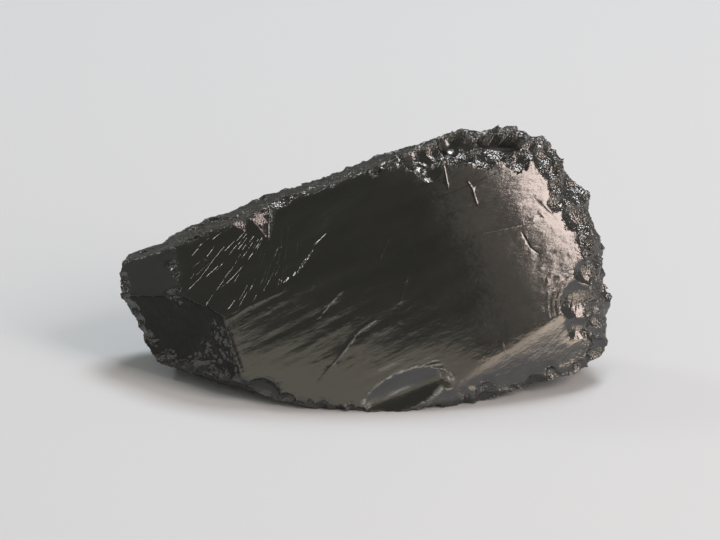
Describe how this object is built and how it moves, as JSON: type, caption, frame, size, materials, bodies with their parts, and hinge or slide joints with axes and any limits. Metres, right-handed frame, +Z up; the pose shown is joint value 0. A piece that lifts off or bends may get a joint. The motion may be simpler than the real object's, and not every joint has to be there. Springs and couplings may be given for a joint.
{
  "type": "anthracite coal lump",
  "caption": "Broken lump of glossy anthracite coal with shell-like fractures, a crumbled rim and a flat underside that it stands on.",
  "frame": {"origin": "centre of the lump's plan box, at the height of its flat underside", "axes": "+X along the lump from its thin end to its thick end, +Z up, -Y towards the side that the big glossy face leans back from"},
  "size_m": [0.065, 0.0296, 0.0313],
  "materials": {
    "coal": "glossy black, almost a mirror on the large clean fractures, with a warm brown-grey sheen; dull on the crumbled faces"
  },
  "bodies": {
    "root": {"coal_lump": "coal"}
  },
  "joints": []
}
